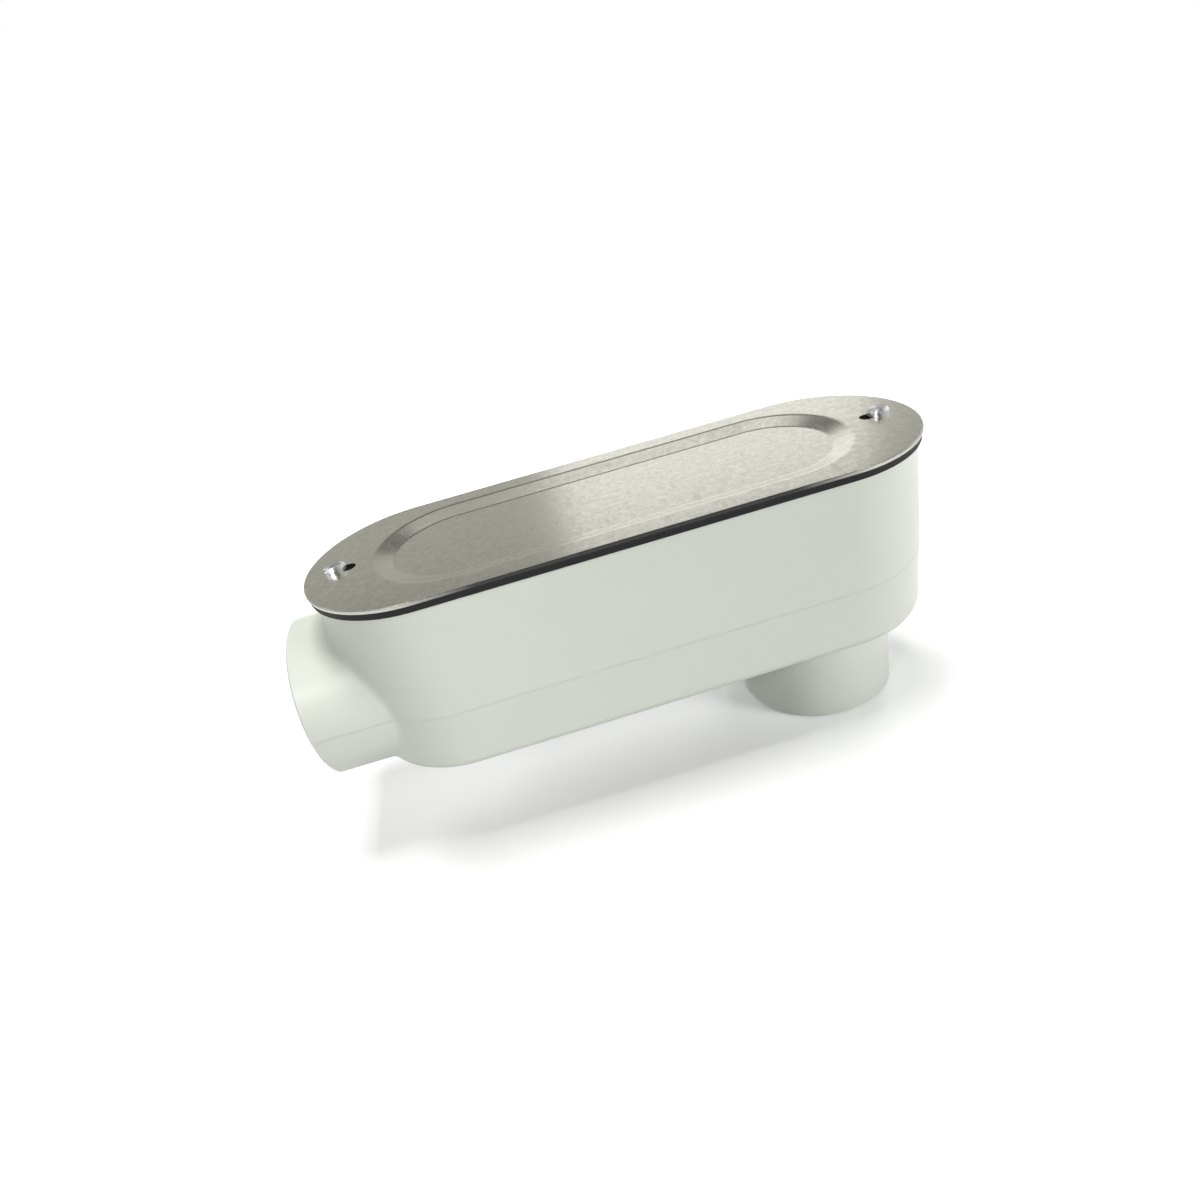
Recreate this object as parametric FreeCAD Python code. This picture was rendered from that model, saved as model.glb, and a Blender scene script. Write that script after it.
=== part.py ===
import FreeCAD, Part
import os
from math import atan2, radians, sin, tan

# Die-cast LB conduit body for 1-1/2 inch conduit: an obround casting with one
# threaded hub on its end and one on its back, closed by a stamped cover.
# Millimetres, +Z up.  The origin is on the end hub's axis where its thread
# starts, +X runs along that hub into the body, and the cover faces +Z.

# Casting, outside
END_SPAN = 136.6  # between the centres of the two rounded ends
BODY_WIDTH = 70.4  # across the flat sides at the parting line
RIM_ABOVE_AXIS = 40.0  # gasket seat above the end hub's axis
BACK_BELOW_AXIS = 23.5  # flat back below the end hub's axis
BACK_EDGE_RADIUS = 4.0
OUTER_DRAFT = 0.5  # degrees, both ways from the parting line
PARTING_STEP = 0.3  # the lower die half is this much smaller all round

# Casting, inside
WALL = 2.9  # at the rim
FLOOR = 3.2
CAVITY_DRAFT = 0.7  # degrees, the cavity widens towards the cover
CAVITY_CORNER = 3.5  # bevel along the edge of the cavity's floor

# Hubs; the thread itself is left off, and its root is the wall
THREAD_RADIUS = 24.0
THREAD_LENGTH = 25.0
HUB_WALL = 4.25
HUB_MOUTH_BEVEL = 0.7  # outer edge of each mouth
END_HUB_FILLET = 3.0  # where the end hub meets the body
BACK_HUB_FLARE = 2.4  # sloping foot where the back hub meets the body's back
ENTRY_CHAMFER = 1.2  # lead-in between each mouth and its thread
THROAT_RADIUS = 19.5  # integral bushing that stops the conduit
THROAT_BEVEL = 1.2  # where the throat opens on the conduit's end
END_HUB_REACH = 12.5  # start of the thread to the end of the body
END_NECK = 3.6  # end hub's bushing, beyond the thread
BACK_HUB_FROM_ARC = 4.9  # back hub's axis to the centre of the rounded end
BACK_NECK = 6.1  # back hub's bushing, from the thread to the body's back
END_FLARE = 2.0  # where the end hub's throat opens into the cavity
BACK_FLARE = 5.0  # the same at the cavity's floor
HUB_RAMP = 14.0  # the end hub's underside fades out over this length

# Cover, gasket and screws
COVER_OVERHANG = 1.3  # beyond the body at the parting line
COVER_THICKNESS = 1.2
COVER_EDGE_BEVEL = 0.25
DISH_FROM_END = 22.8  # cover's end to the dish
DISH_FROM_SIDE = 8.0  # cover's side to the dish
DISH_WALL_RUN = 6.5
DISH_DEPTH = 2.0
DISH_BEND_RADIUS = 3.0  # inside the bends
GASKET_THICKNESS = 2.4
GASKET_INSET = 0.4  # inside the cover's edge
GASKET_LAP = 1.0  # between the dish and the gasket's inner edge
SCREW_FROM_END = 10.6  # cover's end to each screw
SLOT_TRAVEL = 4.2  # each cover slot runs this far inwards
SLOT_CLEARANCE = 0.75  # slot's half width beyond the screw's core
GASKET_HOLE_CLEARANCE = 0.5
SCREW_CORE_RADIUS = 1.65  # number 8 screw at the root of its thread
SCREW_LENGTH = 12.7
SCREW_POINT = 0.6
HEAD_RADIUS = 3.6
HEAD_HEIGHT = 2.3
HEAD_CROWN = 0.9  # height of the sloping edge of the head
DRIVER_SLOT_WIDTH = 1.1
DRIVER_SLOT_DEPTH = 1.2
DRIVER_SLOT_TURNS = {"left": 35, "right": 80}  # degrees from +X
TAPPED_CLEARANCE = 0.13
TAPPED_DEPTH = 11.0
BOSS_WALL = 3.5  # metal round each tapped hole

EXTRA = 1.0  # how far a cut runs past what it opens
TOLERANCE = 1e-4  # two lengths or directions closer than this are the same

BODY_RADIUS = BODY_WIDTH / 2
RIM_RADIUS = BODY_RADIUS - RIM_ABOVE_AXIS * tan(radians(OUTER_DRAFT))
LOWER_RADIUS = BODY_RADIUS - PARTING_STEP
BACK_RADIUS = LOWER_RADIUS - BACK_BELOW_AXIS * tan(radians(OUTER_DRAFT))
NEAR_ARC_X = END_HUB_REACH + BODY_RADIUS
FAR_ARC_X = NEAR_ARC_X + END_SPAN
CENTRE_X = (NEAR_ARC_X + FAR_ARC_X) / 2

HUB_RADIUS = THREAD_RADIUS + HUB_WALL
COLLAR_X = THREAD_LENGTH + END_NECK  # inner face of the end hub's bushing
BACK_HUB_X = FAR_ARC_X - BACK_HUB_FROM_ARC
BACK_HUB_Z = -BACK_BELOW_AXIS - BACK_NECK - THREAD_LENGTH  # start of its thread

FLOOR_Z = FLOOR - BACK_BELOW_AXIS
CAVITY_TAPER = tan(radians(CAVITY_DRAFT))
CAVITY_RIM_RADIUS = RIM_RADIUS - WALL
CAVITY_FLOOR_RADIUS = CAVITY_RIM_RADIUS - (RIM_ABOVE_AXIS - FLOOR_Z) * CAVITY_TAPER

COVER_RADIUS = BODY_RADIUS + COVER_OVERHANG
COVER_HALF_LENGTH = END_SPAN / 2 + COVER_RADIUS
GASKET_TOP = RIM_ABOVE_AXIS + GASKET_THICKNESS
COVER_TOP = GASKET_TOP + COVER_THICKNESS
DISH_RADIUS = COVER_RADIUS - DISH_FROM_SIDE
DISH_HALF_SPAN = COVER_HALF_LENGTH - DISH_FROM_END - DISH_RADIUS
SCREW_OFFSET = COVER_HALF_LENGTH - SCREW_FROM_END
SCREW_X = {"left": CENTRE_X - SCREW_OFFSET, "right": CENTRE_X + SCREW_OFFSET}
INWARDS = {"left": 1, "right": -1}
TAPPED_RADIUS = SCREW_CORE_RADIUS + TAPPED_CLEARANCE
BOSS_RADIUS = TAPPED_RADIUS + BOSS_WALL

X_WAY = FreeCAD.Vector(1, 0, 0)
Y_WAY = FreeCAD.Vector(0, 1, 0)
Z_WAY = FreeCAD.Vector(0, 0, 1)
ORIGIN = FreeCAD.Vector(0, 0, 0)


def point(x, y, z):
    return FreeCAD.Vector(x, y, z)


def rounded_face(corners):
    """Face in the YZ plane from (y, z, radius) corners, each rounded by a tangent arc."""
    count = len(corners)
    edges = []
    stretches = []
    for i, (y, z, radius) in enumerate(corners):
        here = point(0, y, z)
        if radius <= 0:
            stretches.append((here, here))
            continue
        back = (point(0, *corners[i - 1][:2]) - here).normalize()
        ahead = (point(0, *corners[(i + 1) % count][:2]) - here).normalize()
        half = back.getAngle(ahead) / 2
        reach = radius / tan(half)
        start = here + back * reach
        end = here + ahead * reach
        middle = here + (back + ahead).normalize() * (radius / sin(half) - radius)
        edges.append(Part.Arc(start, middle, end).toShape())
        stretches.append((start, end))
    for i in range(count):
        start = stretches[i][1]
        end = stretches[(i + 1) % count][0]
        if start.distanceToPoint(end) > TOLERANCE:
            edges.append(Part.LineSegment(start, end).toShape())
    return Part.Face(Part.Wire(Part.sortEdges(edges)[0]))


def obround(corners, half_span):
    """Solid with the section given by (radius, z, rounding) corners.

    The section is turned half a circle at each end and drawn straight between.
    """
    face = rounded_face(corners)
    pieces = []
    for centre_x, angle in ((CENTRE_X - half_span, 0), (CENTRE_X + half_span, 180)):
        section = face.copy()
        section.rotate(ORIGIN, Z_WAY, angle)
        section.translate(point(centre_x, 0, 0))
        pieces.append(section.revolve(point(centre_x, 0, 0), Z_WAY, 180))
        pieces.append(section.extrude(point(2 * (CENTRE_X - centre_x), 0, 0)))
    return pieces[0].fuse(pieces[1:]).removeSplitter()


def plate(half_span, radius, bottom, top):
    """Flat obround plate."""
    return obround([(0, bottom, 0), (radius, bottom, 0), (radius, top, 0), (0, top, 0)], half_span)


def turned(corners, base, way):
    """Solid turned about way at base from (radius, along, rounding) corners."""
    solid = rounded_face(corners).revolve(ORIGIN, Z_WAY, 360)
    solid.Placement = FreeCAD.Placement(base, FreeCAD.Rotation(Z_WAY, way))
    return solid


def half_space(above):
    """Large block above or below the parting plane."""
    reach = 4 * (END_SPAN + BODY_WIDTH)
    return Part.makeBox(reach, reach, reach, point(-reach / 2, -reach / 2, 0 if above else -reach))


def is_end_hub_wall(face):
    """True for the round wall of the end hub, and for no other face."""
    surface = face.Surface
    if surface.TypeId != "Part::GeomCylinder" or abs(surface.Radius - HUB_RADIUS) > TOLERANCE:
        return False
    return abs(surface.Axis.dot(X_WAY)) > 1 - TOLERANCE


def with_junction_fillet(shape):
    """Round the edges where the end hub's wall runs into the body."""
    chosen = []
    for edge in shape.Edges:
        faces = shape.ancestorsOfType(edge, Part.Face)
        at_parting = max(abs(edge.BoundBox.ZMin), abs(edge.BoundBox.ZMax)) < TOLERANCE
        at_mouth = edge.CenterOfMass.x < END_HUB_REACH
        if len(faces) == 2 and sum(map(is_end_hub_wall, faces)) == 1 and not at_parting and not at_mouth:
            chosen.append(edge)
    return shape.makeFillet(END_HUB_FILLET, chosen)


def hub_barrel(base, way, length, flare=0):
    """Outside of a hub, widening by flare at its foot."""
    corners = [
        (0, -ENTRY_CHAMFER, 0),
        (HUB_RADIUS - HUB_MOUTH_BEVEL, -ENTRY_CHAMFER, 0),
        (HUB_RADIUS, HUB_MOUTH_BEVEL - ENTRY_CHAMFER, 0),
        (HUB_RADIUS, length - flare, 0),
        (HUB_RADIUS + flare, length, 0),
        (0, length, 0),
    ]
    return turned(corners, base, way)


def hub_bore(base, way, neck, flare):
    """Lead-in, thread, shoulder and flared throat of one hub, as the metal taken out."""
    end = THREAD_LENGTH + neck
    mouth = ENTRY_CHAMFER + EXTRA
    corners = [
        (0, -mouth, 0),
        (THREAD_RADIUS + mouth, -mouth, 0),
        (THREAD_RADIUS, 0, 0),
        (THREAD_RADIUS, THREAD_LENGTH, 0),
        (THROAT_RADIUS + THROAT_BEVEL, THREAD_LENGTH, 0),
        (THROAT_RADIUS, THREAD_LENGTH + THROAT_BEVEL, 0),
        (THROAT_RADIUS, end - flare, 0),
        (THROAT_RADIUS + flare + EXTRA, end + EXTRA, 0),
        (0, end + EXTRA, 0),
    ]
    return turned(corners, base, way)


def hub_ramp():
    """Block under the end hub that slopes its underside up into the body's flat back."""
    start = COLLAR_X - HUB_RAMP
    low = -HUB_RADIUS - EXTRA
    slope = (HUB_RADIUS - BACK_BELOW_AXIS) / HUB_RAMP
    corners = [
        point(start - EXTRA / slope, -HUB_RADIUS, low),
        point(COLLAR_X, -HUB_RADIUS, -BACK_BELOW_AXIS),
        point(FAR_ARC_X, -HUB_RADIUS, -BACK_BELOW_AXIS),
        point(FAR_ARC_X, -HUB_RADIUS, low),
    ]
    face = Part.Face(Part.makePolygon(corners + corners[:1]))
    return face.extrude(Y_WAY * (2 * HUB_RADIUS))


def upper_half():
    """Casting above the parting plane: the tall wall and the top of the end hub."""
    wall = [
        (0, 0, 0),
        (BODY_RADIUS, 0, 0),
        (RIM_RADIUS, RIM_ABOVE_AXIS, 0),
        (0, RIM_ABOVE_AXIS, 0),
    ]
    hub = hub_barrel(ORIGIN, X_WAY, COLLAR_X).common(half_space(True))
    return with_junction_fillet(obround(wall, END_SPAN / 2).fuse(hub).removeSplitter())


def lower_half():
    """Casting below the parting plane: the short wall, the back and both hubs."""
    wall = [
        (0, 0, 0),
        (LOWER_RADIUS, 0, 0),
        (BACK_RADIUS, -BACK_BELOW_AXIS, BACK_EDGE_RADIUS),
        (0, -BACK_BELOW_AXIS, 0),
    ]
    hub = hub_barrel(ORIGIN, X_WAY, COLLAR_X).common(half_space(False)).cut(hub_ramp())
    body = with_junction_fillet(obround(wall, END_SPAN / 2).fuse(hub).removeSplitter())
    back_hub = point(BACK_HUB_X, 0, BACK_HUB_Z)
    return body.fuse(hub_barrel(back_hub, Z_WAY, THREAD_LENGTH + BACK_NECK, BACK_HUB_FLARE)).removeSplitter()


def screw_boss(side):
    """Pilaster for one cover screw, joined to the end wall; it stands on what is below it."""
    foot = FLOOR_Z - FLOOR / 2 if side == "right" else 0
    height = RIM_ABOVE_AXIS + EXTRA - foot
    x = SCREW_X[side]
    wall_x = CENTRE_X - INWARDS[side] * (END_SPAN / 2 + BODY_RADIUS)
    post = Part.makeCylinder(BOSS_RADIUS, height, point(x, 0, foot))
    corner = point(min(x, wall_x), -BOSS_RADIUS, foot)
    return post.fuse(Part.makeBox(abs(wall_x - x), 2 * BOSS_RADIUS, height, corner))


def tapped_hole(side):
    x = SCREW_X[side]
    bottom = RIM_ABOVE_AXIS - TAPPED_DEPTH
    hole = Part.makeCylinder(TAPPED_RADIUS, TAPPED_DEPTH + EXTRA, point(x, 0, bottom))
    drill_point = Part.makeCone(0, TAPPED_RADIUS, TAPPED_RADIUS / 2, point(x, 0, bottom - TAPPED_RADIUS / 2))
    return hole.fuse(drill_point)


def wire_way():
    """Space inside the casting, with its collar and screw bosses left standing."""
    top = RIM_ABOVE_AXIS + EXTRA
    corners = [
        (0, FLOOR_Z, 0),
        (CAVITY_FLOOR_RADIUS - CAVITY_CORNER, FLOOR_Z, 0),
        (CAVITY_FLOOR_RADIUS, FLOOR_Z + CAVITY_CORNER, 0),
        (CAVITY_RIM_RADIUS + EXTRA * CAVITY_TAPER, top, 0),
        (0, top, 0),
    ]
    space = obround(corners, END_SPAN / 2)
    collar = Part.makeCylinder(HUB_RADIUS, COLLAR_X, ORIGIN, X_WAY)
    footing = Part.makeBox(COLLAR_X, BODY_WIDTH, BACK_BELOW_AXIS, point(0, -BODY_RADIUS, -BACK_BELOW_AXIS))
    return space.cut([collar, footing, screw_boss("left"), screw_boss("right")])


def body_casting():
    outside = upper_half().fuse(lower_half()).removeSplitter()
    bores = [
        hub_bore(ORIGIN, X_WAY, END_NECK, END_FLARE),
        hub_bore(point(BACK_HUB_X, 0, BACK_HUB_Z), Z_WAY, BACK_NECK + FLOOR, BACK_FLARE),
    ]
    space = wire_way().fuse(bores + [tapped_hole("left"), tapped_hole("right")])
    return outside.cut(space).removeSplitter()


def cover_gasket():
    """Flat ring with solid ends; each screw passes through a close round hole."""
    outer_radius = COVER_RADIUS - GASKET_INSET
    ring = plate(END_SPAN / 2, outer_radius, RIM_ABOVE_AXIS, GASKET_TOP)
    window = plate(DISH_HALF_SPAN, DISH_RADIUS + GASKET_LAP, RIM_ABOVE_AXIS - EXTRA, GASKET_TOP + EXTRA)
    hole_radius = SCREW_CORE_RADIUS + GASKET_HOLE_CLEARANCE
    height = GASKET_THICKNESS + 2 * EXTRA
    bottom = RIM_ABOVE_AXIS - EXTRA
    holes = [Part.makeCylinder(hole_radius, height, point(x, 0, bottom)) for x in SCREW_X.values()]
    return ring.cut([window] + holes)


def dish():
    """Shallow pan pressed into the middle of the cover, of even sheet thickness."""
    slope = atan2(DISH_DEPTH, DISH_WALL_RUN)
    shift = COVER_THICKNESS * tan(slope / 2)
    outer_bend = DISH_BEND_RADIUS + COVER_THICKNESS
    join = DISH_RADIUS + DISH_BEND_RADIUS
    foot = DISH_RADIUS - DISH_WALL_RUN
    pan_top = COVER_TOP - DISH_DEPTH
    corners = [
        (0, pan_top, 0),
        (foot, pan_top, DISH_BEND_RADIUS),
        (DISH_RADIUS, COVER_TOP, outer_bend),
        (join, COVER_TOP, 0),
        (join, GASKET_TOP, 0),
        (DISH_RADIUS + shift, GASKET_TOP, DISH_BEND_RADIUS),
        (foot + shift, pan_top - COVER_THICKNESS, outer_bend),
        (0, pan_top - COVER_THICKNESS, 0),
    ]
    return obround(corners, DISH_HALF_SPAN)


def cover_slot(side):
    """Slot for one screw, from the screw towards the middle of the cover."""
    radius = SCREW_CORE_RADIUS + SLOT_CLEARANCE
    bottom = GASKET_TOP - EXTRA
    height = COVER_THICKNESS + 2 * EXTRA
    x = SCREW_X[side]
    inner_x = x + INWARDS[side] * SLOT_TRAVEL
    rounds = [Part.makeCylinder(radius, height, point(place, 0, bottom)) for place in (x, inner_x)]
    straight = Part.makeBox(SLOT_TRAVEL, 2 * radius, height, point(min(x, inner_x), -radius, bottom))
    return straight.fuse(rounds)


def cover_plate():
    outline = [
        (0, GASKET_TOP, 0),
        (COVER_RADIUS, GASKET_TOP, 0),
        (COVER_RADIUS, COVER_TOP - COVER_EDGE_BEVEL, 0),
        (COVER_RADIUS - COVER_EDGE_BEVEL, COVER_TOP, 0),
        (0, COVER_TOP, 0),
    ]
    sheet = obround(outline, END_SPAN / 2)
    opening = plate(DISH_HALF_SPAN, DISH_RADIUS + DISH_BEND_RADIUS, GASKET_TOP - EXTRA, COVER_TOP + EXTRA)
    sheet = sheet.cut(opening).fuse(dish()).removeSplitter()
    return sheet.cut([cover_slot("left"), cover_slot("right")])


def cover_screw(side):
    """Round-topped machine screw with a straight driver slot; its head rests on the cover."""
    seat = point(SCREW_X[side], 0, COVER_TOP)
    corners = [
        (0, -SCREW_LENGTH, 0),
        (SCREW_CORE_RADIUS - SCREW_POINT, -SCREW_LENGTH, 0),
        (SCREW_CORE_RADIUS, SCREW_POINT - SCREW_LENGTH, 0),
        (SCREW_CORE_RADIUS, 0, 0),
        (HEAD_RADIUS, 0, 0),
        (HEAD_RADIUS, HEAD_HEIGHT - HEAD_CROWN, 0),
        (HEAD_RADIUS - HEAD_CROWN, HEAD_HEIGHT, 0),
        (0, HEAD_HEIGHT, 0),
    ]
    screw = turned(corners, seat, Z_WAY)
    slot = Part.makeBox(
        4 * HEAD_RADIUS,
        DRIVER_SLOT_WIDTH,
        DRIVER_SLOT_DEPTH + EXTRA,
        seat + point(-2 * HEAD_RADIUS, -DRIVER_SLOT_WIDTH / 2, HEAD_HEIGHT - DRIVER_SLOT_DEPTH),
    )
    slot.rotate(seat, Z_WAY, DRIVER_SLOT_TURNS[side])
    return screw.cut(slot)


def single_solid(shape):
    """The one solid a piece is made of."""
    solid, = shape.Solids
    return solid


if __name__ == "__main__":
    os.makedirs("parts", exist_ok=True)
    pieces = {
        "body_casting": body_casting(),
        "cover_gasket": cover_gasket(),
        "cover_plate": cover_plate(),
        "cover_screw_left": cover_screw("left"),
        "cover_screw_right": cover_screw("right"),
    }
    for name, shape in pieces.items():
        single_solid(shape).exportStep(f"parts/{name}.step")
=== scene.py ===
"""Finishes, threads, camera and light for a die-cast conduit body.

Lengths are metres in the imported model's frame. The origin is on the end hub's axis where its
thread starts, +X runs along that hub into the body, and +Z faces out through the cover.
"""

import logging
import math
from dataclasses import dataclass
from enum import Enum
from typing import Any, Iterable, Optional, Union

import bmesh
import bpy
from mathutils import Matrix, Vector


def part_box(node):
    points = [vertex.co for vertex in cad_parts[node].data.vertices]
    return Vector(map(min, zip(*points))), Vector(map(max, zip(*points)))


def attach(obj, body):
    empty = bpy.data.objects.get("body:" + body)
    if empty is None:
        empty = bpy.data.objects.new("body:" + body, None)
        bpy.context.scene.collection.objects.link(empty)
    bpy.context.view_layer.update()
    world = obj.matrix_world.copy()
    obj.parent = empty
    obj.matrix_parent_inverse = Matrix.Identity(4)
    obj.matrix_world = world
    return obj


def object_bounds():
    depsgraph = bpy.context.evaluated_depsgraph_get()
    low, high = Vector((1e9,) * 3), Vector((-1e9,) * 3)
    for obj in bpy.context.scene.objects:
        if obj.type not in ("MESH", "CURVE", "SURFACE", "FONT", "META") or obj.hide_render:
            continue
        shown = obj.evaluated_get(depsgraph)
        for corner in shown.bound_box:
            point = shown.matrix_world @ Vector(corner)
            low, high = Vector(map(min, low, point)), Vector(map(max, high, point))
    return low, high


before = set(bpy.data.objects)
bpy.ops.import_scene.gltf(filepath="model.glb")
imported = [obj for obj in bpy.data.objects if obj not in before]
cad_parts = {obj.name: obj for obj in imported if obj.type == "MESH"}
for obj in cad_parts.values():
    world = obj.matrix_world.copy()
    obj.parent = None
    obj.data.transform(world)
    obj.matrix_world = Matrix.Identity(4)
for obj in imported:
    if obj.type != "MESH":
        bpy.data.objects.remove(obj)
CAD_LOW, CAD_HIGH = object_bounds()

MILLIMETRE = 0.001
INCH = 25.4 * MILLIMETRE
MIDDLE_X = 116.0 * MILLIMETRE
MIDDLE = (MIDDLE_X, 0.0, 0.0)
BACK_HUB_X = 179.4 * MILLIMETRE
BACK_THREAD_Z = -54.6 * MILLIMETRE
UP = (0.0, 0.0, 1.0)
DOWN = (0.0, 0.0, -1.0)
TO_FRONT = (0.0, -1.0, 0.0)

Colour = tuple[float, float, float]
Triple = tuple[float, float, float]
Stops = Iterable[tuple[float, float]]
Number = Union[float, "Value"]

log = logging.getLogger("conduit_body")


class Slot(Enum):
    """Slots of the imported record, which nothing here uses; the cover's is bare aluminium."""

    COVER = "cover"
    SCREWS = "screws"


class Side(Enum):
    """The cover's two ends, which name its screws."""

    LEFT = "left"
    RIGHT = "right"


class ThreadKind(Enum):
    """Which way a thread's ridge stands from its root."""

    IN_A_HOLE = -1
    ON_A_SHANK = 1


# -------------------------------------------------------------------------------------------
# Shader maths


class Value:
    """A shader socket that carries one number, with arithmetic that adds Math nodes."""

    def __init__(self, shader: "Shader", socket: bpy.types.NodeSocket) -> None:
        """Wrap a socket of a shader's tree."""
        self.shader = shader
        self.socket = socket

    def math(self, operation: str, *others: Number, clamp: bool = False) -> "Value":
        """Add a Math node with this value first.

        Args:
            operation: Name of the Math node's operation.
            others: Its further inputs.
            clamp: Whether the result is held between 0 and 1.

        Returns:
            The node's result.
        """
        settings = {"operation": operation, "use_clamp": clamp}
        inputs = dict(enumerate((self, *others)))
        return Value(self.shader, self.shader.node("ShaderNodeMath", settings, inputs).outputs[0])

    def __add__(self, other: Number) -> "Value":
        """Sum."""
        return self.math("ADD", other)

    __radd__ = __add__

    def __mul__(self, other: Number) -> "Value":
        """Product."""
        return self.math("MULTIPLY", other)

    __rmul__ = __mul__

    def __sub__(self, other: Number) -> "Value":
        """Difference."""
        return self.math("SUBTRACT", other)

    def __rsub__(self, other: Number) -> "Value":
        """Difference from a plain number."""
        return (self * -1.0) + other

    def __truediv__(self, other: Number) -> "Value":
        """Quotient."""
        return self.math("DIVIDE", other)

    def __pow__(self, other: Number) -> "Value":
        """Power."""
        return self.math("POWER", other)

    def __abs__(self) -> "Value":
        """Size without sign."""
        return self.math("ABSOLUTE")

    def below(self, limit: float, soft: float) -> "Value":
        """Give 1 well below a limit and 0 well above it, changing over the width soft."""
        return ((limit - self) / soft).math("ADD", 0.5, clamp=True)

    def above(self, limit: float, soft: float) -> "Value":
        """Give 0 well below a limit and 1 well above it, changing over the width soft."""
        return ((self - limit) / soft).math("ADD", 0.5, clamp=True)


class Shader:
    """The node tree of one material or world."""

    def __init__(self, tree: bpy.types.NodeTree) -> None:
        """Empty a node tree and take it over."""
        self.tree = tree
        tree.nodes.clear()

    def node(
        self,
        kind: str,
        settings: Optional[dict[str, Any]] = None,
        inputs: Optional[dict[Union[str, int], Any]] = None,
    ) -> bpy.types.Node:
        """Add a node.

        Args:
            kind: The node's type.
            settings: Its properties, set before its sockets; "stops" fills a colour ramp.
            inputs: Socket names or numbers with their values or links.

        Returns:
            The new node.
        """
        node = self.tree.nodes.new(kind)
        for name, setting in (settings or {}).items():
            if name == "stops":
                self._fill_ramp(node.color_ramp, setting)
            else:
                setattr(node, name, setting)
        for name, given in (inputs or {}).items():
            source = given.socket if isinstance(given, Value) else given
            if isinstance(source, bpy.types.NodeSocket):
                self.tree.links.new(source, node.inputs[name])
            else:
                node.inputs[name].default_value = source
        return node

    @staticmethod
    def _fill_ramp(ramp: bpy.types.ColorRamp, stops: Stops) -> None:
        """Give a colour ramp grey stops.

        Args:
            ramp: The ramp.
            stops: Its stops, as (position, brightness) pairs.
        """
        stops = list(stops)
        while len(ramp.elements) < len(stops):
            ramp.elements.new(0.5)
        for element, (position, grey) in zip(ramp.elements, stops):
            element.position = position
            element.color = (grey, grey, grey, 1.0)

    def value(self, node: bpy.types.Node, output: Union[str, int] = 0) -> Value:
        """Wrap one output of a node."""
        return Value(self, node.outputs[output])

    def place(self) -> bpy.types.NodeSocket:
        """Give the Object coordinates, in metres in the model's frame."""
        return self.node("ShaderNodeTexCoord").outputs["Object"]

    def axes(self) -> tuple[Value, Value, Value]:
        """Give the three Object coordinates as numbers."""
        split = self.node("ShaderNodeSeparateXYZ", None, {0: self.place()})
        return self.value(split, 0), self.value(split, 1), self.value(split, 2)

    def seen(self) -> Value:
        """Tell what shows from what lights.

        Returns:
            1 for the camera, reflections and clear materials, and 0 for light that is cast.
        """
        ray = self.node("ShaderNodeLightPath")
        seen = self.value(ray, "Is Camera Ray")
        for way in ("Is Glossy Ray", "Is Transmission Ray"):
            seen = seen.math("MAXIMUM", self.value(ray, way))
        return seen

    def noise(
        self,
        size: float,
        detail: float = 2.0,
        roughness: float = 0.5,
        stretch: Triple = (1.0, 1.0, 1.0),
    ) -> Value:
        """Add a noise pattern.

        Args:
            size: Length of its features, in metres.
            detail: Number of finer layers.
            roughness: Strength of the finer layers.
            stretch: How much longer its features are along each axis.

        Returns:
            The pattern, from 0 to 1 and mostly near one half.
        """
        scale = tuple(1.0 / (size * longer) for longer in stretch)
        spread = {"Vector": self.place(), "Scale": scale}
        mapped = self.node("ShaderNodeMapping", {"vector_type": "POINT"}, spread)
        inputs = {
            "Vector": mapped.outputs[0],
            "Scale": 1.0,
            "Detail": detail,
            "Roughness": roughness,
        }
        return self.value(self.node("ShaderNodeTexNoise", None, inputs), "Fac")

    def ramp(self, source: Value, low: float, high: float) -> Value:
        """Give 0 up to a low value and 1 from a high one, through a colour ramp.

        Args:
            source: The value to read.
            low: Where the result leaves 0.
            high: Where it reaches 1.

        Returns:
            The result, from 0 to 1.
        """
        stops = ((0.0, 0.0), (low, 0.0), (high, 1.0), (1.0, 1.0))
        ramp = self.node("ShaderNodeValToRGB", {"stops": stops}, {"Fac": source})
        return self.value(self.node("ShaderNodeRGBToBW", None, {0: ramp.outputs["Color"]}))

    def mix(self, amount: Value, first: Any, second: Any) -> bpy.types.NodeSocket:
        """Blend two colours, each a plain colour or a socket, by an amount from 0 to 1."""
        inputs = {0: amount, 6: self.colour(first), 7: self.colour(second)}
        return self.node("ShaderNodeMix", {"data_type": "RGBA"}, inputs).outputs[2]

    @staticmethod
    def colour(given: Any) -> Any:
        """Add the fourth channel to a plain colour, and pass a socket on."""
        return (*given, 1.0) if isinstance(given, tuple) else given

    def bump(
        self, height: Value, distance: float, below: Optional[bpy.types.NodeSocket] = None
    ) -> bpy.types.NodeSocket:
        """Turn a height pattern into a surface normal.

        Args:
            height: The pattern, from 0 to 1.
            distance: Depth in metres of a full step of the pattern.
            below: A normal that this one is laid over.

        Returns:
            The normal's socket.
        """
        inputs = {"Height": height, "Distance": distance, "Strength": 1.0}
        if below is not None:
            inputs["Normal"] = below
        return self.node("ShaderNodeBump", None, inputs).outputs[0]

    def finish_with(
        self,
        kind: str,
        inputs: dict[Union[str, int], Any],
        target: str = "ShaderNodeOutputMaterial",
    ) -> None:
        """Add the last shader node and send it to the tree's output.

        Args:
            kind: The shader node's type.
            inputs: Values or links of its sockets.
            target: Type of the output node.
        """
        last = self.node(kind, None, inputs)
        self.node(target, None, {"Surface": last.outputs[0]})


def new_material(name: str) -> tuple[bpy.types.Material, Shader]:
    """Make an empty node material.

    Args:
        name: The material's name.

    Returns:
        The material and its tree.
    """
    material = bpy.data.materials.new(name)
    material.use_nodes = True
    return material, Shader(material.node_tree)


# -------------------------------------------------------------------------------------------
# Finishes


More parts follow.
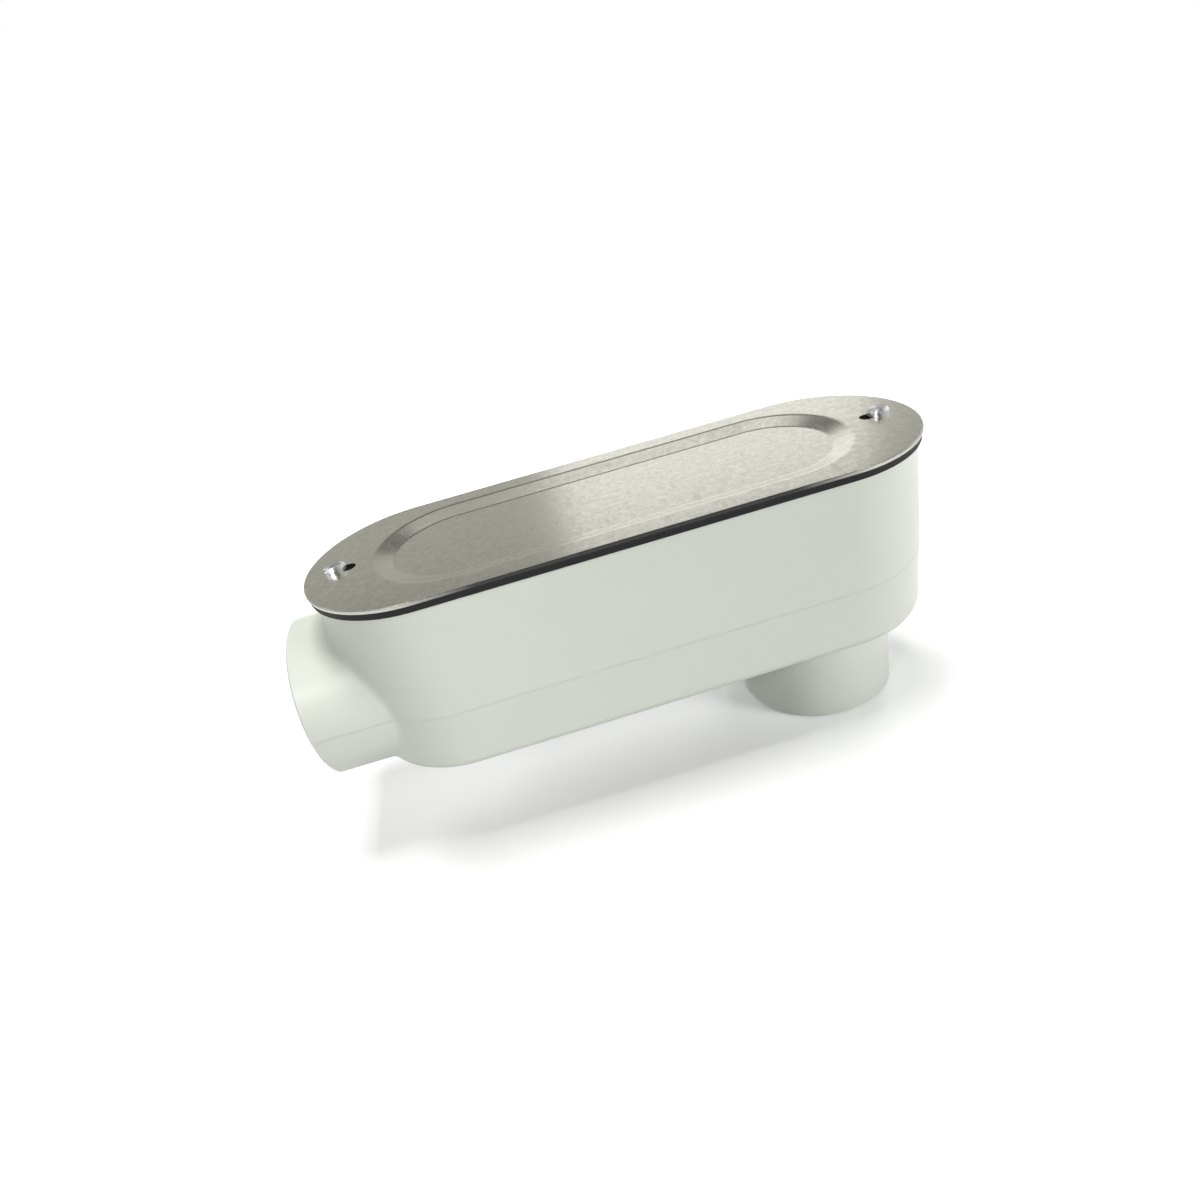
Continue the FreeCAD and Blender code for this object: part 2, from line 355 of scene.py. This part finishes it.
@dataclass(frozen=True)
class HubBores:
    """The two threaded bores, which are left bare of paint."""

    radius: float = 24.35 * MILLIMETRE
    depth: float = 25.1 * MILLIMETRE
    edge: float = 0.15 * MILLIMETRE

    def mask(self, shader: Shader) -> Value:
        """Give 1 inside either bore and 0 elsewhere.

        Args:
            shader: The tree that the mask's nodes go in.

        Returns:
            The mask.
        """
        x, y, z = shader.axes()
        from_end_axis = (y * y + z * z) ** 0.5
        from_back_axis = ((x - BACK_HUB_X) ** 2.0 + y * y) ** 0.5
        in_end = from_end_axis.below(self.radius, self.edge) * x.below(self.depth, self.edge)
        up_to = z.below(BACK_THREAD_Z + self.depth, self.edge)
        in_back = from_back_axis.below(self.radius, self.edge) * up_to
        return in_end.math("MAXIMUM", in_back)


@dataclass(frozen=True)
class CastPaint:
    """Smooth pale grey paint, baked on to a die casting."""

    colour: Colour = (0.665, 0.700, 0.622)
    pale: Colour = (0.698, 0.730, 0.657)
    bare_metal: Colour = (0.62, 0.62, 0.61)
    ior: float = 1.5
    roughness: float = 0.36
    peel_roughness: float = 0.10
    cloud_roughness: float = 0.08
    peel_size: float = 2.6 * MILLIMETRE
    peel_depth: float = 0.012 * MILLIMETRE
    grain_size: float = 0.5 * MILLIMETRE
    grain_depth: float = 0.0025 * MILLIMETRE
    cloud_size: float = 45 * MILLIMETRE
    flash_height: float = 0.2 * MILLIMETRE
    flash_width: float = 0.7 * MILLIMETRE
    flash_depth: float = 0.25 * MILLIMETRE

    def material(self) -> bpy.types.Material:
        """Build the paint, with bare bores and a faint line of flash at the parting step.

        Returns:
            The material.
        """
        material, shader = new_material("cast_paint")
        clouds = shader.noise(self.cloud_size, detail=3.0)
        peel = shader.noise(self.peel_size, detail=1.5)
        grain = shader.noise(self.grain_size, detail=2.0)
        bare = HubBores().mask(shader)
        paint = shader.mix(clouds, self.colour, self.pale)
        uneven = self.peel_roughness * (peel - 0.5) + self.cloud_roughness * (clouds - 0.5)
        _, _, height = shader.axes()
        from_parting = abs(height - self.flash_height) / self.flash_width
        flash = 1.0 - from_parting.math("MINIMUM", 1.0)
        relief = shader.bump(grain, self.grain_depth, shader.bump(peel, self.peel_depth))
        inputs = {
            "Base Color": shader.mix(bare, paint, self.bare_metal),
            "Roughness": self.roughness + uneven,
            "Metallic": bare,
            "Normal": shader.bump(flash, self.flash_depth, relief),
            "IOR": self.ior,
        }
        shader.finish_with("ShaderNodeBsdfPrincipled", inputs)
        return material


@dataclass(frozen=True)
class MillSheet:
    """Rolled sheet as it leaves the mill, stamped and a little scuffed; its edge has painted
    shade.
    """

    bright: Colour = (0.84, 0.84, 0.750)
    dull: Colour = (0.745, 0.74, 0.650)
    roughness: float = 0.20
    dull_roughness: float = 0.07
    scuff_roughness: float = 0.05
    blotch_size: float = 2.6 * MILLIMETRE
    blotch_share: float = 0.45
    speck_size: float = 0.9 * MILLIMETRE
    speck_share: float = 0.38
    speck_depth: float = 0.0008 * MILLIMETRE
    roll_size: float = 0.45 * MILLIMETRE
    roll_share: float = 0.17
    roll_depth: float = 0.0010 * MILLIMETRE
    roll_stretch: Triple = (40.0, 1.0, 1.0)
    dull_from: float = 0.38
    dull_full: float = 0.62
    scuff_size: float = 1.4 * MILLIMETRE
    scuff_stretch: Triple = (1.6, 9.0, 1.0)
    scuff_from: float = 0.60
    scuff_full: float = 0.72
    # Painted shade: a near-black colour on the plate's edge, which stands in for the dark band
    # under the cover.
    edge_shade_colour: Colour = (0.06, 0.06, 0.057)
    sheared_roughness: float = 0.55
    half_straight: float = 68.3 * MILLIMETRE
    half_width: float = 36.5 * MILLIMETRE
    edge: float = 0.08 * MILLIMETRE
    # Painted highlight: the edge's painted shade is lightened round the cover's ends.
    end_highlight_from: float = -6.0 * MILLIMETRE
    end_highlight_over: float = 26.0 * MILLIMETRE
    end_highlight_share: float = 0.50

    def edge_shade_mask(self, shader: Shader) -> Value:
        """Mark the edge's painted shade, lightened round the cover's ends as a painted highlight.

        Args:
            shader: The tree that the mask's nodes go in.

        Returns:
            1 where the edge is painted dark, less round the ends, and 0 on the plate's face.
        """
        x, y, _ = shader.axes()
        along_x = abs(x - MIDDLE_X)
        past = (along_x - self.half_straight).math("MAXIMUM", 0.0)
        from_spine = (past * past + y * y) ** 0.5
        # Painted highlight: the painted shade on the edge fades round the ends.
        lightened_ends = along_x.above(self.half_straight + self.end_highlight_from, self.end_highlight_over)
        cut = from_spine.above(self.half_width - 2 * self.edge, self.edge)
        return cut * (1.0 - self.end_highlight_share * lightened_ends)

    def material(self) -> bpy.types.Material:
        """Build the sheet's finish.

        Returns:
            The material.
        """
        material, shader = new_material("mill_sheet")
        blotches = shader.noise(self.blotch_size, detail=4.0, roughness=0.62)
        specks = shader.noise(self.speck_size, detail=3.0, roughness=0.6)
        rolled = shader.noise(self.roll_size, detail=2.0, stretch=self.roll_stretch)
        streaks = shader.noise(self.scuff_size, detail=3.0, stretch=self.scuff_stretch)
        scuffs = shader.ramp(streaks, self.scuff_from, self.scuff_full)
        worn = self.blotch_share * blotches + self.speck_share * specks
        worn = worn + self.roll_share * rolled
        amount = shader.ramp(worn, self.dull_from, self.dull_full)
        face_roughness = self.roughness + self.dull_roughness * amount
        face_roughness = face_roughness + self.scuff_roughness * scuffs
        # Painted shade on the plate's edge, lighter round the ends as a painted highlight.
        cut = self.edge_shade_mask(shader)
        face = shader.mix(amount, self.bright, self.dull)
        relief = shader.bump(specks, self.speck_depth)
        inputs = {
            "Base Color": shader.mix(cut, face, self.edge_shade_colour),
            "Metallic": 1.0,
            "Roughness": face_roughness + cut * (self.sheared_roughness - self.roughness),
            "Normal": shader.bump(rolled, self.roll_depth, relief),
        }
        shader.finish_with("ShaderNodeBsdfPrincipled", inputs)
        return material


@dataclass(frozen=True)
class GasketRubber:
    """Plain black sheet rubber."""

    colour: Colour = (0.010, 0.010, 0.011)
    dusty: Colour = (0.018, 0.018, 0.019)
    roughness: float = 0.62
    dust_roughness: float = 0.2
    gloss_level: float = 0.22
    dust_size: float = 3.0 * MILLIMETRE
    grain_size: float = 0.35 * MILLIMETRE
    grain_depth: float = 0.01 * MILLIMETRE

    def material(self) -> bpy.types.Material:
        """Build the rubber.

        Returns:
            The material.
        """
        material, shader = new_material("gasket_rubber")
        dust = shader.noise(self.dust_size, detail=4.0)
        grain = shader.noise(self.grain_size, detail=2.0)
        inputs = {
            "Base Color": shader.mix(dust, self.colour, self.dusty),
            "Roughness": self.roughness + self.dust_roughness * (dust - 0.5),
            "Specular IOR Level": self.gloss_level,
            "Normal": shader.bump(grain, self.grain_depth),
        }
        shader.finish_with("ShaderNodeBsdfPrincipled", inputs)
        return material


@dataclass(frozen=True)
class ZincPlate:
    """Bright zinc plating over small turned steel screws."""

    colour: Colour = (0.92, 0.93, 0.94)
    shaded: Colour = (0.80, 0.81, 0.82)
    roughness: float = 0.34
    stain_size: float = 1.2 * MILLIMETRE
    stain_roughness: float = 0.16
    usual_stain: float = 0.4
    from_middle: float = 94.2 * MILLIMETRE
    head_radius: float = 3.6 * MILLIMETRE
    crown: float = 0.9 * MILLIMETRE
    ring_size: float = 0.18 * MILLIMETRE
    ring_depth: float = 0.0008 * MILLIMETRE

    def material(self) -> bpy.types.Material:
        """Build the plating, with a domed head and faint rings about each screw's axis.

        Returns:
            The material.
        """
        material, shader = new_material("zinc_plate")
        x, y, _ = shader.axes()
        off_axis = abs(x - MIDDLE_X) - self.from_middle
        radius = (off_axis * off_axis + y * y) ** 0.5
        rings = 0.5 + 0.5 * (radius / self.ring_size).math("SINE")
        dome = shader.bump(1.0 - (radius / self.head_radius) ** 2.0, self.crown)
        stain = shader.noise(self.stain_size, detail=3.0)
        uneven = self.stain_roughness * (stain - self.usual_stain)
        inputs = {
            "Base Color": shader.mix(stain, self.colour, self.shaded),
            "Metallic": 1.0,
            "Roughness": self.roughness + uneven,
            "Normal": shader.bump(rings, self.ring_depth, dome),
        }
        shader.finish_with("ShaderNodeBsdfPrincipled", inputs)
        return material


@dataclass(frozen=True)
class BareThread:
    """Cast aluminium freshly cut by a tap."""

    colour: Colour = (0.70, 0.70, 0.69)
    torn: Colour = (0.55, 0.55, 0.54)
    roughness: float = 0.30
    tear_roughness: float = 0.2
    tear_size: float = 0.5 * MILLIMETRE
    tear_depth: float = 0.01 * MILLIMETRE

    def material(self) -> bpy.types.Material:
        """Build the cut metal.

        Returns:
            The material.
        """
        material, shader = new_material("bare_thread")
        tears = shader.noise(self.tear_size, detail=3.0)
        inputs = {
            "Base Color": shader.mix(tears, self.colour, self.torn),
            "Metallic": 1.0,
            "Roughness": self.roughness + self.tear_roughness * (tears - 0.5),
            "Normal": shader.bump(tears, self.tear_depth),
        }
        shader.finish_with("ShaderNodeBsdfPrincipled", inputs)
        return material


# -------------------------------------------------------------------------------------------
# Pieces


def finish_node(node: bpy.types.Object, material: bpy.types.Material) -> None:
    """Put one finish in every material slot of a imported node.

    Args:
        node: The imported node.
        material: Its finish.
    """
    for place in node.material_slots:
        place.material = material
    log.info("%s: finished as %s", node.name, material.name)


def add_object(
    name: str, mesh: bpy.types.Mesh, material: bpy.types.Material
) -> bpy.types.Object:
    """Put a mesh in the scene with its finish.

    Args:
        name: The object's name.
        mesh: Its mesh, already in place.
        material: Its finish.

    Returns:
        The new object, at the origin.
    """
    mesh.materials.append(material)
    made = bpy.data.objects.new(name, mesh)
    bpy.context.scene.collection.objects.link(made)
    return made


def add_piece(
    name: str, mesh: bpy.types.Mesh, material: bpy.types.Material, body: str
) -> None:
    """Add a new piece of the object and ride it on a body.

    Args:
        name: The piece's name.
        mesh: Its mesh, already in place.
        material: Its finish.
        body: The body that it moves with.
    """
    piece = add_object(name, mesh, material)
    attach(piece, body)
    log.info("%s: %d faces, rides on %s", name, len(mesh.polygons), body)


def along(base: Triple, way: Triple) -> Matrix:
    """Give the transform that takes the Z axis at the origin to a direction at a base point."""
    turn = Vector(way).to_track_quat("Z", "Y").to_matrix().to_4x4()
    return Matrix.Translation(Vector(base)) @ turn


@dataclass
class HelicalThread:
    """A right-hand thread's ridge, running up from z = 0 before it is placed."""

    kind: ThreadKind
    root_radius: float
    crest_radius: float
    pitch: float
    length: float
    root_share: float = 0.90
    crest_share: float = 0.14
    rings_per_turn: int = 56
    run_out_turns: float = 0.6
    buried: float = 0.08 * MILLIMETRE

    def sunk_radius(self) -> float:
        """Give the radius of the ridge's foot, a little inside the wall it stands on."""
        return self.root_radius - self.kind.value * self.buried

    def profile(self, work: bmesh.types.BMesh) -> list[Any]:
        """Draw the ridge's section as one face.

        Args:
            work: The mesh under construction.

        Returns:
            The section's vertices, edges and face.
        """
        root, crest = self.sunk_radius(), self.crest_radius
        half_root = self.root_share * self.pitch / 2
        half_crest = self.crest_share * self.pitch / 2
        corners = (
            (root, -half_root),
            (crest, -half_crest),
            (crest, half_crest),
            (root, half_root),
        )
        verts = [work.verts.new((radius, 0.0, half_root + height)) for radius, height in corners]
        face = work.faces.new(verts)
        return verts + list(face.edges) + [face]

    def mesh(self, name: str, placed: Matrix) -> bpy.types.Mesh:
        """Sweep the section round its helix.

        Args:
            name: The mesh's name.
            placed: Transform from the thread's own axis to its place.

        Returns:
            The closed mesh.
        """
        turns = (self.length - self.root_share * self.pitch) / self.pitch
        steps = round(turns * self.rings_per_turn)
        work = bmesh.new()
        section = self.profile(work)
        corner_count = len(work.verts)
        bmesh.ops.spin(
            work,
            geom=section,
            cent=(0.0, 0.0, 0.0),
            axis=UP,
            dvec=(0.0, 0.0, turns * self.pitch / steps),
            angle=2 * math.pi * turns,
            steps=steps,
            use_merge=False,
        )
        self._fade_ends(work, corner_count, steps)
        bmesh.ops.recalc_face_normals(work, faces=work.faces)
        bmesh.ops.transform(work, matrix=placed, verts=work.verts)
        made = bpy.data.meshes.new(name)
        work.to_mesh(made)
        work.free()
        return made

    def _fade_ends(self, work: bmesh.types.BMesh, corner_count: int, steps: int) -> None:
        """Sink the ridge into its root over the first and last part of a turn.

        Args:
            work: The swept ridge, whose vertices are in the order of its rings.
            corner_count: Vertices of one ring.
            steps: Steps of the sweep.
        """
        root = self.sunk_radius()
        fading_rings = self.run_out_turns * self.rings_per_turn
        for number, vert in enumerate(work.verts):
            ring = number // corner_count
            height = min(1.0, (min(ring, steps - ring) + 1) / fading_rings)
            radius = math.hypot(vert.co.x, vert.co.y)
            wanted = root + (radius - root) * height
            vert.co.x *= wanted / radius
            vert.co.y *= wanted / radius


@dataclass
class Casting:
    """The painted casting, with the conduit threads cut in its two hubs."""

    body: str = "body"
    node: str = "body_casting"
    thread_root: float = 24.0 * MILLIMETRE
    thread_crest: float = 22.3 * MILLIMETRE
    threads_per_inch: float = 11.5
    thread_length: float = 24.6 * MILLIMETRE
    end_hub: Triple = (0.0, 0.0, 0.0)
    end_way: Triple = (1.0, 0.0, 0.0)
    back_hub: Triple = (BACK_HUB_X, 0.0, BACK_THREAD_Z)

    def build(self) -> None:
        """Paint the casting and cut both hub threads."""
        finish_node(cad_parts[self.node], CastPaint().material())
        bare = BareThread().material()
        places = {
            "end_hub_thread": along(self.end_hub, self.end_way),
            "back_hub_thread": along(self.back_hub, UP),
        }
        for name, place in places.items():
            add_piece(name, self.thread().mesh(name, place), bare, self.body)

    def thread(self) -> HelicalThread:
        """Give the conduit thread."""
        return HelicalThread(
            ThreadKind.IN_A_HOLE,
            self.thread_root,
            self.thread_crest,
            INCH / self.threads_per_inch,
            self.thread_length,
        )


@dataclass
class Cover:
    """The stamped cover and its gasket."""

    plate: str = "cover_plate"
    gasket: str = "cover_gasket"

    def build(self) -> None:
        """Give the sheet and the rubber their finishes."""
        finish_node(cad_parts[self.plate], MillSheet().material())
        finish_node(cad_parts[self.gasket], GasketRubber().material())


@dataclass
class CoverScrew:
    """One cover screw, with the thread on its shank."""

    side: Side
    core_radius: float = 1.65 * MILLIMETRE
    crest_radius: float = 2.06 * MILLIMETRE
    threads_per_inch: float = 32.0
    thread_length: float = 11.2 * MILLIMETRE
    plain_tip: float = 0.3 * MILLIMETRE
    rings_per_turn: int = 28
    buried: float = 0.05 * MILLIMETRE

    def build(self, plating: bpy.types.Material) -> None:
        """Plate the screw and add its thread.

        Args:
            plating: The screws' finish.
        """
        node = f"cover_screw_{self.side.value}"
        finish_node(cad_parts[node], plating)
        low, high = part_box(node)
        start = ((low[0] + high[0]) / 2, (low[1] + high[1]) / 2, low[2] + self.plain_tip)
        name = f"{self.side.value}_screw_thread"
        mesh = self.thread().mesh(name, along(start, UP))
        add_piece(name, mesh, plating, f"screw_{self.side.value}")

    def thread(self) -> HelicalThread:
        """Give the screw's thread."""
        return HelicalThread(
            ThreadKind.ON_A_SHANK,
            self.core_radius,
            self.crest_radius,
            INCH / self.threads_per_inch,
            self.thread_length,
            rings_per_turn=self.rings_per_turn,
            buried=self.buried,
        )


# -------------------------------------------------------------------------------------------
# Setting


@dataclass
class Camera:
    """A wide lens close above the cover's near side, rolled so that the body leans."""

    place: Triple = (88.05 * MILLIMETRE, -232.44 * MILLIMETRE, 142.91 * MILLIMETRE)
    azimuth: float = -3.600
    elevation: float = 30.741
    roll: float = -14.755
    lens: float = 22.709
    sensor: float = 36.0
    nearest: float = 10 * MILLIMETRE

    def build(self) -> None:
        """Add the camera and make it the scene's."""
        data = bpy.data.cameras.new("camera")
        data.lens = self.lens
        data.sensor_width = self.sensor
        data.clip_start = self.nearest
        camera = bpy.data.objects.new("camera", data)
        turn = (
            Matrix.Rotation(math.radians(self.azimuth), 4, "Z")
            @ Matrix.Rotation(math.radians(90.0 - self.elevation), 4, "X")
            @ Matrix.Rotation(math.radians(self.roll), 4, "Z")
        )
        camera.matrix_world = Matrix.Translation(Vector(self.place)) @ turn
        bpy.context.scene.collection.objects.link(camera)
        bpy.context.scene.camera = camera


@dataclass
class SoftBox:
    """A square studio lamp aimed at a point."""

    name: str
    place: Triple
    size: float
    watts: float
    aim: Triple = MIDDLE
    shows_in_gloss: bool = False

    def build(self) -> None:
        """Add the lamp."""
        data = bpy.data.lights.new(self.name, "AREA")
        data.shape = "SQUARE"
        data.size = self.size
        data.energy = self.watts
        lamp = bpy.data.objects.new(self.name, data)
        lamp.matrix_world = along(self.place, Vector(self.place) - Vector(self.aim))
        lamp.visible_camera = False
        lamp.visible_glossy = self.shows_in_gloss
        bpy.context.scene.collection.objects.link(lamp)


def flat_mesh(name: str, width: float, height: float, placed: Matrix) -> bpy.types.Mesh:
    """Make a flat rectangle.

    Args:
        name: The mesh's name.
        width: Its size along its own X axis.
        height: Its size along its own Y axis.
        placed: Transform from the origin, facing up, to its place.

    Returns:
        The mesh.
    """
    work = bmesh.new()
    bmesh.ops.create_grid(work, x_segments=1, y_segments=1, size=0.5)
    bmesh.ops.scale(work, vec=(width, height, 1.0), verts=work.verts)
    bmesh.ops.transform(work, matrix=placed, verts=work.verts)
    mesh = bpy.data.meshes.new(name)
    work.to_mesh(mesh)
    work.free()
    return mesh


@dataclass
class ReflectedCard:
    """A card that the camera doesn't see: it shows in reflections, and may shade the light."""

    name: str
    centre: Triple
    normal: Triple
    width: float
    height: float
    colour: Colour
    shades_light: bool = False

    def build(self) -> None:
        """Add the card."""
        material, shader = new_material(self.name)
        kind = "ShaderNodeBsdfDiffuse" if self.shades_light else "ShaderNodeEmission"
        shader.finish_with(kind, {"Color": (*self.colour, 1.0)})
        placed = along(self.centre, self.normal)
        mesh = flat_mesh(self.name, self.width, self.height, placed)
        card = add_object(self.name, mesh, material)
        card.visible_camera = False
        card.visible_diffuse = self.shades_light
        card.visible_shadow = self.shades_light
        card.visible_transmission = False


@dataclass
class Studio:
    """Plain pale floor, white surround, soft lamps and the cards that metal reflects."""

    floor_size: float = 12.0
    floor_grey: float = 0.36
    floor_shown: float = 1.10
    floor_lift: float = 0.02
    white_from: float = 0.40
    white_over: float = 0.36
    ambient: float = 0.07
    gap: float = 0.05 * MILLIMETRE

    def build(self) -> None:
        """Add everything round the object."""
        self._world()
        self._floor()
        for thing in (*self._lamps(), *self._cards()):
            thing.build()

    @staticmethod
    def _lamps() -> list[SoftBox]:
        """Give the lamps; all but the last are aimed at the middle of the object."""
        return [
            SoftBox("back_left_lamp", place=(-0.50, 0.75, 0.50), size=0.35, watts=4.2),
            SoftBox("back_right_lamp", place=(0.75, 0.75, 0.50), size=0.35, watts=3.0),
            SoftBox("top_lamp", place=(0.116, 0.05, 0.80), size=0.30, watts=4.8),
            SoftBox(
                "front_left_lamp",
                place=(-0.35, -0.60, 0.45),
                size=0.22,
                watts=2.1,
                shows_in_gloss=True,
            ),
            SoftBox("front_right_lamp", place=(0.90, -0.70, 0.30), size=0.30, watts=5.5),
            SoftBox("right_lamp", place=(0.60, -0.30, 0.25), size=0.16, watts=0.55),
            SoftBox(
                "low_left_lamp",
                place=(0.06, -0.28, -0.030),
                size=0.03,
                watts=0.09,
                aim=(0.08, 0.0, -0.02),
            ),
        ]

    @staticmethod
    def _cards() -> list[ReflectedCard]:
        """Give the cards; only the one before the camera shades the light."""
        return [
            ReflectedCard(
                "ceiling_card",
                centre=(0.116, -0.60, 0.62),
                normal=DOWN,
                width=3.0,
                height=1.7,
                colour=(0.35, 0.35, 0.34),
            ),
            ReflectedCard(
                "left_card",
                centre=(-0.8575, 0.80, 0.72),
                normal=TO_FRONT,
                width=1.975,
                height=1.6,
                colour=(0.43, 0.43, 0.41),
            ),
            ReflectedCard(
                "right_card",
                centre=(1.12, 0.80, 0.72),
                normal=TO_FRONT,
                width=1.0,
                height=1.6,
                colour=(0.50, 0.49, 0.48),
            ),
            ReflectedCard(
                "edge_card",
                centre=(0.25, 0.78, 0.73),
                normal=TO_FRONT,
                width=1.30,
                height=0.46,
                colour=(0.12, 0.12, 0.115),
            ),
            ReflectedCard(
                "left_glint_card",
                centre=(-0.16, -0.25, 0.58),
                normal=(-0.3, -0.4, -1.0),
                width=0.12,
                height=0.12,
                colour=(4.0, 4.0, 4.1),
            ),
            ReflectedCard(
                "right_glint_card",
                centre=(0.50, -0.24, 0.58),
                normal=(0.3, -0.4, -1.0),
                width=0.12,
                height=0.12,
                colour=(4.0, 4.0, 4.1),
            ),
            ReflectedCard(
                "camera_card",
                centre=(0.088, -0.33, 0.22),
                normal=(0.0, 0.9, -0.35),
                width=0.36,
                height=0.36,
                colour=(0.08, 0.08, 0.08),
                shades_light=True,
            ),
        ]

    def _world(self) -> None:
        """Make a white surround whose light on the object is softer than it looks."""
        world = bpy.data.worlds.new("surround")
        bpy.context.scene.world = world
        world.use_nodes = True
        shader = Shader(world.node_tree)
        strength = self.ambient + (1.0 - self.ambient) * shader.seen()
        inputs = {"Color": (1.0, 1.0, 1.0, 1.0), "Strength": strength}
        shader.finish_with("ShaderNodeBackground", inputs, "ShaderNodeOutputWorld")

    def _floor(self) -> None:
        """Lay the floor under the back hub; away from the object it looks plain white."""
        material, shader = new_material("floor")
        seen = shader.seen()
        grey = self.floor_grey + (self.floor_shown - self.floor_grey) * seen
        matt = shader.node("ShaderNodeBsdfDiffuse", None, {"Color": grey})
        x, y, _ = shader.axes()
        from_middle = ((x - MIDDLE_X) ** 2.0 + y * y) ** 0.5
        away = from_middle.above(self.white_from, self.white_over)
        lift = seen * (self.floor_lift + (1.0 - self.floor_lift) * away)
        glow = shader.node("ShaderNodeEmission", None, {"Strength": lift})
        shader.finish_with("ShaderNodeAddShader", {0: matt.outputs[0], 1: glow.outputs[0]})
        placed = Matrix.Translation((0.0, 0.0, CAD_LOW.z - self.gap))
        mesh = flat_mesh("floor", self.floor_size, self.floor_size, placed)
        add_object("floor", mesh, material)


def main() -> None:
    """Build every piece, then the setting."""
    logging.basicConfig(level=logging.INFO, format="%(name)s: %(message)s")
    Casting().build()
    Cover().build()
    plating = ZincPlate().material()
    for side in Side:
        CoverScrew(side).build(plating)
    Camera().build()
    Studio().build()
    bpy.context.scene.view_settings.view_transform = "Standard"


if __name__ == "__main__":
    main()
